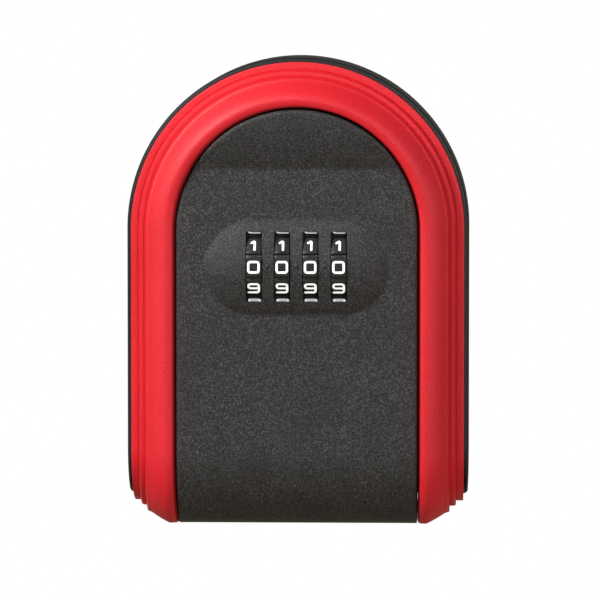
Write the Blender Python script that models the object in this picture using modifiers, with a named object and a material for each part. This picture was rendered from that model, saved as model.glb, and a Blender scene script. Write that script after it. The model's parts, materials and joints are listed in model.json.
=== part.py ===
"""A wall-mounted key lock box with a drop-down door and a four-wheel combination lock.

Sizes below are in millimetres. A place is given as x to the right, f forward from the wall, and z up from
the centre of the arch. at() turns such a place into Blender's metres, with +Y into the wall and +Z up.
"""

import math

import bmesh
import bpy
from mathutils import Matrix, Vector

MM = 0.001
ARCH_HEIGHT = 15.75  # the arch's centre above the part's origin
GAP = 0.3  # between pieces that touch

# outline of the case: each layer is an arch on straight legs, swept back towards the wall at its foot
ARCH_SEGMENTS = 23
FOOT_STEPS = 5
FOOT_START = -55.0
FOOT_DEPTH = 12.0
FOOT_TUCK = 0.3

# rear shell
SHELL_HALF_WIDTH = 42.5
SHELL_DEPTH = 24.0
SHELL_BOTTOM = -67.35
SHELL_WALL = 2.2
SHELL_BACK = 2.5
LIP_FRONT = 11.2  # the shell's floor ends here between the legs, behind the door's chin

# stepped frame: half-width at the base and at the front of each step, its front and its bottom
FRAME_BACK = SHELL_DEPTH + GAP
FRAME_STEPS = [
    (41.4, 41.4, 26.5, -68.5),
    (39.6, 38.8, 28.5, -69.9),
    (38.0, 37.05, 30.5, -71.4),
]
CREST_HALF_WIDTH = 32.4
CREST_FRONT = 33.5
CREST_ROUND = (1.3, 0.2)  # the crest's inner edge: how far in it turns over, and how far back
CREST_RISE = 2.0  # how much further forward the crest stands at the top of the arch
CREST_INNER_FRONT = 32.4
OPENING_HALF_WIDTH = 30.2
FRONT_BOTTOM = -74.0
HEEL = FRAME_STEPS[0][3] - 0.5  # the bottom of the frame's back
GROOVE = (33.5, 36.0)  # the half-widths of the groove that lightens the frame from behind
GROOVE_FRONT = 28.5

# door panel
DOOR_HALF_WIDTH = 29.9
DOOR_FRONT = 32.8
DOOR_WALL = 2.0
DOOR_SKIN = 2.5
DOOR_BACK = 23.0
BROW = 2.7  # how much further forward the panel stands at the top of the arch
BROW_START = 15.2
BUMP_HALF_LENGTH = 23.2
BUMP_HALF_HEIGHT = 12.0
BUMP_RAISE = 2.8
BUMP_SHAPE = 1.7  # the power of its dome: 1 is a ridge, and more is flatter on top
BUMP_Z = -9.3
DOOR_INSIDE = DOOR_FRONT - DOOR_SKIN

# hinge of the door
HINGE_F = 8.5
HINGE_Z = -70.6
KNUCKLE_RADIUS = 2.5
PIN_RADIUS = 1.2
CASE_KNUCKLE = (12.0, 20.0)
DOOR_KNUCKLE = (20.3, 27.0)
WEB_INSET = 0.1  # how far a knuckle's web stops short of its ends
ARM_FRONT = 17.0

# number wheels and the code sleeves inside them
WHEEL_COUNT = 4
WHEEL_PITCH = 7.0
WHEEL_RADIUS = 9.3
WHEEL_WIDTH = 3.6
WHEEL_F = 27.1
WHEEL_Z = -9.0
WHEEL_BORE = 4.3
WHEEL_RECESS = 5.5
WINDOW_WIDTH = 4.0
WINDOW_HEIGHT = 17.3
POCKET_MARGIN = 0.8  # how much taller than the windows the pocket behind them is
SLEEVE_RADIUS = 4.0
SLEEVE_BORE = 2.3
CAM_RADIUS = 5.5
CAM_WIDTH = 1.2
SLEEVE_LEFT = -3.4
SLEEVE_RIGHT = 3.3
LUG_RADIUS = 5.2
LUG_WIDTH = 1.0
LUG_SPAN = (0.25, 1.5)
GATE_WIDTH = 1.6
GATE_DEPTH = 1.3
SPINDLE_RADIUS = 2.0
SPINDLE = (-21.8, 21.9)
CLIP_X = 20.9
CLIP_RADIUS = 3.1
CLIP_THICKNESS = 0.6
RESET_TRAVEL = 1.6
COIL_RADIUS = 2.65
COIL_WIRE = 0.25
COIL_TURNS = 4
COIL_STEPS = 10

# lock plate: a bracket behind the wheels, with two ears that carry the spindle
PLATE_BACK = 15.2
PLATE_THICKNESS = 1.2
PLATE_FRONT = PLATE_BACK + PLATE_THICKNESS
PLATE_HALF_WIDTH = 25.2
PLATE_BOTTOM = -20.5
PLATE_SHOULDER = 1.0
PLATE_TOP = 8.0
TOWER_HALF_WIDTH = 20.0
EAR_LEFT = -19.9
EAR_RIGHT = 15.9
EAR_HALF_HEIGHT = 3.6

# detent spring, behind the wheels' top
DETENT_THICKNESS = 0.4
DETENT_HALF_WIDTH = 13.0
FINGER_HALF_WIDTH = 1.4
FINGER_BENDS = [(21.5, 1.1), (25.0, 0.6)]

# reset lever: its thickness across the part, and the slots that it comes back through
LEVER = (19.0, 20.2)
LEVER_SLOT = (17.0, 20.6)
LEVER_BACK = 9.5
LEVER_HALF_HEIGHT = 2.8

# bolt
BOLT_BACK = 13.4
BOLT_FRONT = 14.9
BOLT_HALF_WIDTH = 5.0
BOLT_TOP = 28.8
BOLT_BOTTOM = -73.6
FENCE_BOTTOM = WHEEL_Z + CAM_RADIUS + GAP
FENCE_HEIGHT = 2.5
FENCE_TOP = FENCE_BOTTOM + FENCE_HEIGHT
FENCE_FRONT = 29.0
BOLT_TRAVEL = 4.0
BOLT_ROOM = 0.8  # round the bolt in the keeper's slot
TOOTH_WIDTH = 1.0
TAB_HALF_WIDTH = 8.0
TAB_FRONT = 18.0
TAB_HEIGHT = 3.2
TAB_GROOVE = (6.0, 0.8, 1.0)  # half-width, width across, depth

# rear cover of the lock
COVER_HALF_WIDTH = 27.0
COVER_BACK = 11.4
COVER_PLATE = 1.5
COVER_WALL = 1.4
COVER_BOTTOM = -27.0
COVER_FRONT = 22.4

# door seal: half-widths, depths and bottom
SEAL = (27.5, 29.8)
SEAL_DEPTHS = (20.9, 22.7)
SEAL_BOTTOM = -50.0

# screws: shank radius, head radius, head height
FRAME_SCREW = (1.25, 2.8, 1.6)
SMALL_SCREW = (1.0, 2.0, 1.0)
RIVET = (0.8, 1.4, 0.7)
SCREW_STEPS = 8
FRAME_SCREW_HEAD = 0.4
FRAME_SCREW_TIP = 16.0
KEEPER_SCREW_TIP = 4.2
HOOK_SCREW_TIP = 1.5
LOCK_SCREW_TIP = 24.0
COVER_SCREW_TIP = 20.0
LOOSE = 0.3  # a hole's radius beyond its screw's
PAD_FRONT = 4.5  # the front of the pads on the shell's back wall
SEAT_DEPTH = 2.2

# the wall's screw holes, about the part's origin
WALL_HOLE_X = 20.0
WALL_HOLE_Z = 27.0
WALL_HOLE_RADIUS = 2.5

FRAME_POSTS = [(29.2, 20.4), (35.4, -46.0)]
FRAME_POST_RADIUS = 3.2
FRAME_POST_FRONT = 29.0
FRAME_PAD_RADIUS = FRAME_SCREW[1] + 1.6
LOCK_POSTS = [(23.4, -2.0), (23.4, -16.5)]
COVER_POSTS = [(15.5, 16.5), (21.0, -23.1)]
POST_RADIUS = 2.0
KEEPER_POST_RADIUS = 2.6
KEEPER_Z = 31.0
KEEPER_THICKNESS = 1.2
KEEPER_BACK = 9.0
KEEPER_FRONT = 19.0
KEEPER_TOP = 38.0
KEEPER_HALF_WIDTH = 12.0
KEEPER_SCREW = (8.5, 35.4)
HOOK_Z = 18.0
HOOK_PAD_RADIUS = 3.5
HOOK_HALF_WIDTH = 2.5
HOOK_SHELF = (5.2, 10.6)
HOOK_THICKNESS = 1.0
TAB_RIVET = (3.0, -72.2)
DETENT_RIVET = (7.0, 5.5)


def at(x, f, z):
    """A place in Blender's metres."""
    return Vector((x * MM, -f * MM, (z + ARCH_HEIGHT) * MM))


def wheel_places():
    first = -WHEEL_PITCH * (WHEEL_COUNT - 1) / 2
    return [first + WHEEL_PITCH * i for i in range(WHEEL_COUNT)]


def both_sides(places):
    """Each (x, z) place and its mirror image."""
    return [(side * x, z) for x, z in places for side in (1, -1)]


def pair(span):
    """A span across the right half, and its mirror image."""
    return [span, (-span[1], -span[0])]


# scene, materials and pivots


def clear_scene():
    for obj in list(bpy.data.objects):
        bpy.data.objects.remove(obj)


def new_collection(name):
    collection = bpy.data.collections.new(name)
    bpy.context.scene.collection.children.link(collection)
    return collection


def material(name, colour, roughness, metallic=0.0):
    mat = bpy.data.materials.new(name)
    mat.use_nodes = True
    shader = mat.node_tree.nodes["Principled BSDF"]
    shader.inputs["Base Color"].default_value = (*colour, 1.0)
    shader.inputs["Roughness"].default_value = roughness
    shader.inputs["Metallic"].default_value = metallic
    return mat


def pivot(name, place, parent=None):
    """An empty on a joint's axis."""
    empty = bpy.data.objects.new(name, None)
    empty.empty_display_size = 5 * MM
    PARTS.objects.link(empty)
    empty.location = place
    if parent:
        empty.parent = parent
        empty.matrix_parent_inverse = Matrix.Translation(-Vector(parent["place"]))
    empty["place"] = place
    return empty


def attach(obj, empty):
    """Parents an object to a pivot and leaves it where it is."""
    if empty:
        obj.parent = empty
        obj.matrix_parent_inverse = Matrix.Translation(-Vector(empty["place"]))
    return obj


# building blocks


def is_flat(face):
    """Whether a face's corners lie in one plane. A Boolean needs flat faces, so the others are split."""
    centre = face.calc_center_median()
    return all(abs((v.co - centre).dot(face.normal)) < 0.000001 for v in face.verts)


def from_bmesh(name, bm, mat=None, smooth=30):
    """A new object from a closed bmesh: a part if it has a material, else a cutter."""
    bmesh.ops.recalc_face_normals(bm, faces=bm.faces)
    bmesh.ops.triangulate(bm, faces=[f for f in bm.faces if not is_flat(f)])
    mesh = bpy.data.meshes.new(name)
    bm.to_mesh(mesh)
    bm.free()
    obj = bpy.data.objects.new(name, mesh)
    if mat:
        mesh.materials.append(mat)
        PARTS.objects.link(obj)
        mesh.shade_smooth()
        mesh.set_sharp_from_angle(angle=math.radians(smooth))
    else:
        CUTTERS.objects.link(obj)
        obj.hide_render = True
        obj.display_type = "WIRE"
    return obj


def boolean(obj, tool, operation):
    modifier = obj.modifiers.new(tool.name, "BOOLEAN")
    modifier.object = tool
    modifier.operation = operation
    return obj


def join(obj, *tools):
    for tool in tools:
        boolean(obj, tool, "UNION")


def cut(obj, *tools):
    for tool in tools:
        boolean(obj, tool, "DIFFERENCE")


def add_box(bm, xs, fs, zs):
    low, high = at(xs[0], fs[1], zs[0]), at(xs[1], fs[0], zs[1])
    matrix = Matrix.Translation((low + high) / 2) @ Matrix.Diagonal((*(high - low), 1.0))
    bmesh.ops.create_cube(bm, size=1.0, matrix=matrix)


def box(name, xs, fs, zs, mat=None):
    return boxes(name, [(xs, fs, zs)], mat)


def boxes(name, blocks, mat=None):
    """Separate boxes in one object, each given by its x, f and z ranges."""
    bm = bmesh.new()
    for xs, fs, zs in blocks:
        add_box(bm, xs, fs, zs)
    return from_bmesh(name, bm, mat)


def add_rod(bm, low, high, radius, segments):
    """A cylinder from one place to another."""
    axis = high - low
    turn = axis.to_track_quat("Z", "Y").to_matrix().to_4x4()
    bmesh.ops.create_cone(
        bm,
        cap_ends=True,
        segments=segments,
        radius1=radius * MM,
        radius2=radius * MM,
        depth=axis.length,
        matrix=Matrix.Translation((low + high) / 2) @ turn,
    )


def rods_along_f(name, places, radius, fs, mat=None, segments=12):
    """Cylinders that run forward from the wall at each (x, z) place."""
    bm = bmesh.new()
    for x, z in places:
        add_rod(bm, at(x, fs[0], z), at(x, fs[1], z), radius, segments)
    return from_bmesh(name, bm, mat)


def rods_along_x(name, spans, radius, f, z, mat=None, segments=16):
    """Cylinders on one line across the part, each from one x to another."""
    bm = bmesh.new()
    for x0, x1 in spans:
        add_rod(bm, at(x0, f, z), at(x1, f, z), radius, segments)
    return from_bmesh(name, bm, mat)


def prism(name, outline, fs, mat=None):
    """A flat outline of (x, z) corners, with its thickness from one f to another."""
    bm = bmesh.new()
    face = bm.faces.new([bm.verts.new(at(x, fs[0], z)) for x, z in outline])
    raised = bmesh.ops.extrude_face_region(bm, geom=[face])["geom"]
    moved = [v for v in raised if isinstance(v, bmesh.types.BMVert)]
    bmesh.ops.translate(bm, verts=moved, vec=at(0, fs[1], 0) - at(0, fs[0], 0))
    return from_bmesh(name, bm, mat)


def turned(name, profile, mat, steps):
    """A profile of (radius, height) points, turned about the object's own Z axis."""
    mesh = bpy.data.meshes.new(name)
    points = [(r * MM, 0, h * MM) for r, h in profile]
    closed = profile[0][0] > 0
    edges = [(i, i + 1) for i in range(len(points) - 1)]
    if closed:
        edges.append((len(points) - 1, 0))
    mesh.from_pydata(points, edges, [])
    obj = bpy.data.objects.new(name, mesh)
    PARTS.objects.link(obj)
    add_turn(obj, steps)
    mesh.materials.append(mat)
    return obj


def add_turn(obj, steps):
    screw = obj.modifiers.new("turn", "SCREW")
    screw.steps = steps
    screw.render_steps = steps
    screw.use_merge_vertices = True
    screw.merge_threshold = 0.00001
    screw.use_smooth_shade = False
    return screw


def half_outline(half_width, bottom, swept=True):
    """The right half of an arch, from foot to crown, as (x, z, drop). drop is the sweep back of the foot."""
    points = [] if swept else [(half_width, bottom, 0.0)]
    for i in range(FOOT_STEPS + 1 if swept else 0):
        turn = math.radians(90 * (1 - i / FOOT_STEPS))
        curl = 1 - math.cos(turn)
        z = FOOT_START - (FOOT_START - bottom) * math.sin(turn)
        points.append((half_width - FOOT_TUCK * curl, z, FOOT_DEPTH * curl))
    for i in range((ARCH_SEGMENTS + 1) // 2):
        angle = math.pi * i / ARCH_SEGMENTS
        points.append((half_width * math.cos(angle), half_width * math.sin(angle), 0.0))
    return points


def ease(t):
    t = min(max(t, 0.0), 1.0)
    return t * t * (3 - 2 * t)


def loft(bm, rings):
    """Faces between rings of the same number of vertices, and over both ends."""
    count = len(rings[0])
    for low, high in zip(rings, rings[1:]):
        for i in range(count):
            j = (i + 1) % count
            bm.faces.new((low[i], low[j], high[j], high[i]))
    bm.faces.new(rings[0])
    bm.faces.new(rings[-1])


def slab(name, half_width, bottom, back, front, mat=None, swept=True, flat_back=False):
    """An arch-shaped block between two depths. front may be a function of z."""
    bm = bmesh.new()
    rows = []
    for x, z, drop in half_outline(half_width, bottom, swept):
        face = (front(z) if callable(front) else front) - drop
        rear = back if flat_back else back - drop
        corners = [(x, face), (-x, face), (-x, rear), (x, rear)]
        rows.append([bm.verts.new(at(across, f, z)) for across, f in corners])
    loft(bm, rows)
    return from_bmesh(name, bm, mat)


def band(name, profile, mat=None, swept=True):
    """An arch-shaped band: a closed profile of (half-width, f, bottom, rise) points, from foot to foot.

    rise is how much further forward the point stands at the crown."""
    bm = bmesh.new()
    halves = [half_outline(w, bottom, swept) for w, _, bottom, _ in profile]
    stations = [*range(len(halves[0])), *reversed(range(len(halves[0])))]
    rings = []
    for i, station in enumerate(stations):
        side = 1 if i < len(halves[0]) else -1
        ring = []
        for half, (w, f, _, rise) in zip(halves, profile):
            x, z, drop = half[station]
            ring.append(bm.verts.new(at(side * x, f - drop + rise * ease(z / w), z)))
        rings.append(ring)
    loft(bm, rings)
    return from_bmesh(name, bm, mat)


def screws(name, places, size, head_f, tip_f, mat, parent=None):
    """Screws along f, one object each. The head's top is at head_f, and the shank's tip at tip_f."""
    shank, head, height = size
    length = abs(tip_f - head_f)
    profile = [(0, 0), (head, 0), (head, -height), (shank, -height), (shank, -length + shank), (0, -length)]
    forward = tip_f > head_f
    mesh = None
    for i, (x, z) in enumerate(places):
        label = f"{name}_{i + 1}"
        if mesh is None:
            obj = turned(label, profile, mat, SCREW_STEPS)
            mesh = obj.data
        else:
            obj = bpy.data.objects.new(label, mesh)
            PARTS.objects.link(obj)
            add_turn(obj, SCREW_STEPS)
        obj.location = at(x, head_f, z)
        obj.rotation_euler.x = math.radians(-90 if forward else 90)
        attach(obj, parent)


# the case


def rear_shell(mat):
    shell = slab("rear_shell", SHELL_HALF_WIDTH, SHELL_BOTTOM, 0.0, SHELL_DEPTH, mat, flat_back=True)
    inside = slab(
        "shell_inside",
        SHELL_HALF_WIDTH - SHELL_WALL,
        SHELL_BOTTOM + SHELL_WALL,
        SHELL_BACK,
        SHELL_DEPTH + FOOT_DEPTH,
        flat_back=True,
    )
    cut(shell, inside)
    wide = OPENING_HALF_WIDTH
    room = (SHELL_BOTTOM - 1, FOOT_START)
    cut(shell, box("chin_room", (-wide, wide), (LIP_FRONT, SHELL_DEPTH + 1), room))
    posts = both_sides(FRAME_POSTS)
    shank, head, _ = FRAME_SCREW
    inner = SHELL_BACK - 1.5
    join(shell, rods_along_f("frame_screw_pads", posts, FRAME_PAD_RADIUS, (inner, PAD_FRONT)))
    cut(shell, rods_along_f("frame_screw_holes", posts, shank + LOOSE, (-1.0, PAD_FRONT + 1.5)))
    cut(shell, rods_along_f("frame_screw_seats", posts, head + LOOSE, (-1.0, SEAT_DEPTH)))

    keeper_places = both_sides([KEEPER_SCREW])
    small = SMALL_SCREW[0] + LOOSE
    join(shell, rods_along_f("keeper_posts", keeper_places, KEEPER_POST_RADIUS, (inner, KEEPER_BACK - GAP)))
    cut(shell, rods_along_f("keeper_pilots", keeper_places, small, (SHELL_BACK + 1, KEEPER_BACK)))
    hook_place = [(0, HOOK_Z)]
    join(shell, rods_along_f("hook_pad", hook_place, HOOK_PAD_RADIUS, (inner, PAD_FRONT)))
    cut(shell, rods_along_f("hook_pilot", hook_place, small, (inner, PAD_FRONT + 0.5)))

    heights = [-ARCH_HEIGHT - WALL_HOLE_Z, -ARCH_HEIGHT + WALL_HOLE_Z]
    holes = both_sides([(WALL_HOLE_X, z) for z in heights])
    cut(shell, rods_along_f("wall_holes", holes, WALL_HOLE_RADIUS, (-1.0, PAD_FRONT)))

    join(shell, rods_along_x("case_knuckles", pair(CASE_KNUCKLE), KNUCKLE_RADIUS, HINGE_F, HINGE_Z))
    web = (HINGE_F - KNUCKLE_RADIUS * 0.8, HINGE_F + KNUCKLE_RADIUS * 0.8)
    height = (HINGE_Z, SHELL_BOTTOM + 1.0)
    join(shell, boxes("case_webs", [(span, web, height) for span in pair(web_span(CASE_KNUCKLE))]))
    cut(shell, pin_bore("case_pin_bore"))
    return shell


def web_span(knuckle):
    return knuckle[0] + WEB_INSET, knuckle[1] - WEB_INSET


def pin_bore(name):
    reach = DOOR_KNUCKLE[1] + 1
    return rods_along_x(name, [(-reach, reach)], PIN_RADIUS + LOOSE, HINGE_F, HINGE_Z)


def stepped_frame(mat):
    """The frame's crest on its innermost step, with the outer steps joined to it."""
    base, top, front, bottom = FRAME_STEPS[-1]
    back = FRAME_BACK + 0.4
    turn_in, turn_back = CREST_ROUND
    profile = [
        (base, back, HEEL, 0.0),
        (base, front - 2.0, bottom, 0.0),
        (top, front, bottom, 0.0),
        (CREST_HALF_WIDTH, CREST_FRONT, FRONT_BOTTOM, CREST_RISE),
        (CREST_HALF_WIDTH - turn_in, CREST_FRONT - turn_back, FRONT_BOTTOM, CREST_RISE),
        (OPENING_HALF_WIDTH, CREST_INNER_FRONT, FRONT_BOTTOM, CREST_RISE),
        (OPENING_HALF_WIDTH, back, HEEL, 0.0),
    ]
    crest = band("red_frame", profile, mat)
    behind = FRAME_BACK
    for i, (base, top, front, bottom) in enumerate(FRAME_STEPS[:-1]):
        inner = OPENING_HALF_WIDTH + 1.5 - 0.2 * i
        profile = [(base, behind), (top, front), (inner, front), (inner, behind)]
        join(crest, band(f"frame_step_{i + 1}", [(w, f, bottom, 0.0) for w, f in profile]))
        behind = front - 1.0
    low, high = GROOVE
    groove = [(low, 0.0), (low, GROOVE_FRONT), (high, GROOVE_FRONT), (high, 0.0)]
    cut(crest, band("frame_groove", [(w, f, FOOT_START, 0.0) for w, f in groove], swept=False))
    posts = both_sides(FRAME_POSTS)
    pad = PAD_FRONT + GAP
    join(crest, rods_along_f("frame_posts", posts, FRAME_POST_RADIUS, (pad, FRAME_POST_FRONT)))
    pilot = (pad - 1, FRAME_SCREW_TIP + 2)
    cut(crest, rods_along_f("frame_pilots", posts, FRAME_SCREW[0] + LOOSE, pilot))
    for modifier in crest.modifiers:
        modifier.solver = "MANIFOLD"  # the exact solver leaves open edges where the posts meet the back
    return crest


def keeper(mat):
    """An angle bracket: the bolt's nose goes up through the slot in its level leg."""
    bottom = (KEEPER_Z, KEEPER_Z + KEEPER_THICKNESS)
    width = (-KEEPER_HALF_WIDTH, KEEPER_HALF_WIDTH)
    plate = box("keeper_plate", width, (KEEPER_BACK, KEEPER_FRONT), bottom, mat)
    upright = (KEEPER_BACK, KEEPER_BACK + KEEPER_THICKNESS)
    join(plate, box("keeper_upright", width, upright, (KEEPER_Z + 0.1, KEEPER_TOP)))
    slot = (-BOLT_HALF_WIDTH - BOLT_ROOM, BOLT_HALF_WIDTH + BOLT_ROOM)
    depth = (BOLT_BACK - BOLT_ROOM, BOLT_FRONT + BOLT_ROOM)
    cut(plate, box("keeper_slot", slot, depth, (KEEPER_Z - 1, KEEPER_Z + 3)))
    through = (KEEPER_BACK - 1, KEEPER_BACK + 3)
    cut(plate, rods_along_f("keeper_holes", both_sides([KEEPER_SCREW]), SMALL_SCREW[0] + LOOSE, through))
    return plate


def key_hook(mat):
    """A bent strip: a plate on its pad, a shelf forward, and a lip that keeps the keys on."""
    back, front = PAD_FRONT + GAP, PAD_FRONT + GAP + HOOK_THICKNESS
    shelf_back, shelf_front = HOOK_SHELF
    strip = (-HOOK_HALF_WIDTH, HOOK_HALF_WIDTH)
    plate = (-HOOK_PAD_RADIUS, HOOK_PAD_RADIUS)
    bottom = HOOK_Z - 6.0
    hook = box("key_hook", plate, (back, front), (bottom + 1.0, HOOK_Z + HOOK_PAD_RADIUS), mat)
    join(hook, box("hook_shelf", strip, (shelf_back, shelf_front), (bottom, bottom + 1.2)))
    lip = (shelf_front - 0.1 - HOOK_THICKNESS, shelf_front - 0.1)
    join(hook, box("hook_lip", strip, lip, (bottom + 0.5, bottom + 4.5)))
    cut(hook, rods_along_f("hook_hole", [(0, HOOK_Z)], SMALL_SCREW[0] + LOOSE, (back - 1, front + 1)))
    return hook


# the door


def panel_front(z):
    rise = max((z - BROW_START) / (DOOR_HALF_WIDTH - BROW_START), 0.0)
    return DOOR_FRONT + BROW * (1 - (1 - min(rise, 1.0)) ** 2)


def stadium(half_length, half_height, steps=8):
    """A round-ended outline about the bump's centre, as (x, z) corners."""
    straight = half_length - half_height
    turns = [math.pi * (i / steps - 0.5) for i in range(steps + 1)]
    right = [(straight + half_height * math.cos(t), BUMP_Z + half_height * math.sin(t)) for t in turns]
    return right + [(-x, 2 * BUMP_Z - z) for x, z in right]


def bump():
    """The raised oval round the windows, a low dome."""
    bm = bmesh.new()
    levels = [(0.0, DOOR_FRONT - 1.0)]
    for share in (1.0, 0.8, 0.55, 0.25):
        levels.append((BUMP_HALF_HEIGHT * (1 - share), DOOR_FRONT + BUMP_RAISE * (1 - share**BUMP_SHAPE)))
    rings = [
        [bm.verts.new(at(x, f, z)) for x, z in stadium(BUMP_HALF_LENGTH - inset, BUMP_HALF_HEIGHT - inset)]
        for inset, f in levels
    ]
    loft(bm, rings)
    return from_bmesh("bump", bm)


def door_panel(mat):
    panel = slab("door_panel", DOOR_HALF_WIDTH, FRONT_BOTTOM, DOOR_BACK, panel_front, mat)
    join(panel, bump())
    inside = slab(
        "panel_inside",
        DOOR_HALF_WIDTH - DOOR_WALL,
        FRONT_BOTTOM + DOOR_WALL,
        0.0,
        DOOR_INSIDE,
        flat_back=True,
    )
    cut(panel, inside)

    high, low = WHEEL_Z + WINDOW_HEIGHT / 2, WHEEL_Z - WINDOW_HEIGHT / 2
    across = WINDOW_WIDTH / 2
    windows = [((x - across, x + across), (DOOR_INSIDE - 1, 40.0), (low, high)) for x in wheel_places()]
    cut(panel, boxes("windows", windows))
    pocket = WHEEL_PITCH * WHEEL_COUNT / 2
    across = (-pocket - RESET_TRAVEL - GAP, pocket)
    depth = (DOOR_INSIDE - 1, WHEEL_F + CAM_RADIUS + GAP)
    cut(panel, box("pocket", across, depth, (low - POCKET_MARGIN, high + POCKET_MARGIN)))

    ends = DOOR_INSIDE + 1.0
    shank = SMALL_SCREW[0] + LOOSE
    lock, cover = both_sides(LOCK_POSTS), both_sides(COVER_POSTS)
    cover_post = COVER_BACK + COVER_PLATE + GAP
    join(panel, rods_along_f("lock_posts", lock, POST_RADIUS, (PLATE_FRONT + GAP, ends)))
    join(panel, rods_along_f("cover_posts", cover, POST_RADIUS, (cover_post, ends)))
    cut(panel, rods_along_f("lock_pilots", lock, shank, (PLATE_FRONT - 1, LOCK_SCREW_TIP + 2)))
    cut(panel, rods_along_f("cover_pilots", cover, shank, (cover_post - 1, COVER_SCREW_TIP + 2)))

    join(panel, rods_along_x("door_knuckles", pair(DOOR_KNUCKLE), KNUCKLE_RADIUS, HINGE_F, HINGE_Z))
    arm = (HINGE_Z - KNUCKLE_RADIUS * 0.9, HINGE_Z + 0.5)
    spans = pair(web_span(DOOR_KNUCKLE))
    join(panel, boxes("door_arms", [(span, (HINGE_F, ARM_FRONT), arm) for span in spans]))
    cut(panel, pin_bore("door_pin_bore"))
    wide = TAB_HALF_WIDTH + 2 * GAP
    opening = (BOLT_BACK - 2 * GAP, TAB_FRONT + 1.2)
    height = (FRONT_BOTTOM - 1, FRONT_BOTTOM + TAB_HEIGHT + 0.8)
    cut(panel, box("tab_opening", (-wide, wide), opening, height))
    return panel


def lever_slot_height():
    half = LEVER_HALF_HEIGHT + 0.4
    return WHEEL_Z - half, WHEEL_Z + half


def lock_plate(mat):
    """The bracket: a plate in the shape of a tower on shoulders, with an ear at each end of the spindle."""
    wide, narrow = PLATE_HALF_WIDTH, TOWER_HALF_WIDTH
    right = [(wide, PLATE_BOTTOM), (wide, PLATE_SHOULDER), (narrow, PLATE_SHOULDER), (narrow, PLATE_TOP)]
    outline = right + [(-x, z) for x, z in reversed(right)]
    plate = prism("lock_plate", outline, (PLATE_BACK, PLATE_FRONT), mat)
    ears = [(EAR_LEFT - PLATE_THICKNESS, EAR_LEFT), (EAR_RIGHT, EAR_RIGHT + PLATE_THICKNESS)]
    height = (WHEEL_Z - EAR_HALF_HEIGHT, WHEEL_Z + EAR_HALF_HEIGHT)
    join(plate, boxes("plate_ears", [(x, (PLATE_BACK + 0.5, DOOR_INSIDE - GAP), height) for x in ears]))
    reach = PLATE_HALF_WIDTH + 1
    cut(plate, rods_along_x("spindle_bores", [(-reach, reach)], SLEEVE_BORE, WHEEL_F, WHEEL_Z))
    through = (PLATE_BACK - 1, PLATE_FRONT + 1)
    cut(plate, rods_along_f("plate_holes", both_sides(LOCK_POSTS), SMALL_SCREW[0] + LOOSE, through))
    cut(plate, rods_along_f("rivet_holes", both_sides([DETENT_RIVET]), RIVET[0] + LOOSE, through))
    cut(plate, box("plate_lever_slot", LEVER_SLOT, through, lever_slot_height()))
    left, right_end = fence_span()
    window = (FENCE_BOTTOM - 0.7, FENCE_TOP + BOLT_TRAVEL + 0.4)
    cut(plate, box("fence_window", (left - 0.4, right_end + 0.4), through, window))
    return plate


def detent_spring(mat):
    """A comb of flat fingers that rest on the wheels' rims, on a foot riveted to the lock plate."""
    back = PLATE_FRONT + GAP
    thick = DETENT_THICKNESS
    foot = (FENCE_TOP + BOLT_TRAVEL + 0.5, PLATE_TOP - 0.5)
    width = (-DETENT_HALF_WIDTH, DETENT_HALF_WIDTH)
    spring = box("detent_spring", width, (back, back + thick), foot, mat)
    path = [(back, foot[0] + 0.9), *FINGER_BENDS]
    for number, x in enumerate(wheel_places()):
        left, right = x - FINGER_HALF_WIDTH, x + FINGER_HALF_WIDTH
        bm = bmesh.new()
        rings = []
        for f, z in path:
            corners = [(left, z), (right, z), (right, z + thick), (left, z + thick)]
            rings.append([bm.verts.new(at(across, f, height)) for across, height in corners])
        loft(bm, rings)
        join(spring, from_bmesh(f"detent_finger_{number + 1}", bm))
    rivets = both_sides([DETENT_RIVET])
    cut(spring, rods_along_f("detent_holes", rivets, RIVET[0] + LOOSE, (back - 1, back + 2)))
    return spring


def lock_cover(mat):
    """The rear cover of the lock: an arch-shaped cap with slots for the bolt and the reset lever."""
    cover = slab("lock_cover", COVER_HALF_WIDTH, COVER_BOTTOM, COVER_BACK, COVER_FRONT, mat, swept=False)
    inside = slab(
        "cover_inside",
        COVER_HALF_WIDTH - COVER_WALL,
        COVER_BOTTOM + COVER_WALL,
        COVER_BACK + COVER_PLATE,
        COVER_FRONT + 10,
        swept=False,
    )
    cut(cover, inside)
    slot = (-BOLT_HALF_WIDTH - 0.6, BOLT_HALF_WIDTH + 0.6)
    depth = (BOLT_BACK - 0.4, BOLT_FRONT + 0.4)
    ends = [(COVER_HALF_WIDTH - 7, COVER_HALF_WIDTH + 3), (COVER_BOTTOM - 3, COVER_BOTTOM + 3)]
    cut(cover, boxes("bolt_slots", [(slot, depth, end) for end in ends]))
    through = (COVER_BACK - 1, COVER_BACK + 3)
    cut(cover, box("lever_slot", LEVER_SLOT, through, lever_slot_height()))
    cut(cover, rods_along_f("cover_holes", both_sides(COVER_POSTS), SMALL_SCREW[0] + LOOSE, through))
    return cover


def door_seal(mat):
    back, front = SEAL_DEPTHS
    inner, outer = SEAL
    profile = [(inner, back), (outer, back), (outer, front), (inner, front)]
    return band("door_seal", [(w, f, SEAL_BOTTOM, 0.0) for w, f in profile], mat, swept=False)


# the wheels and their code


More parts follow.
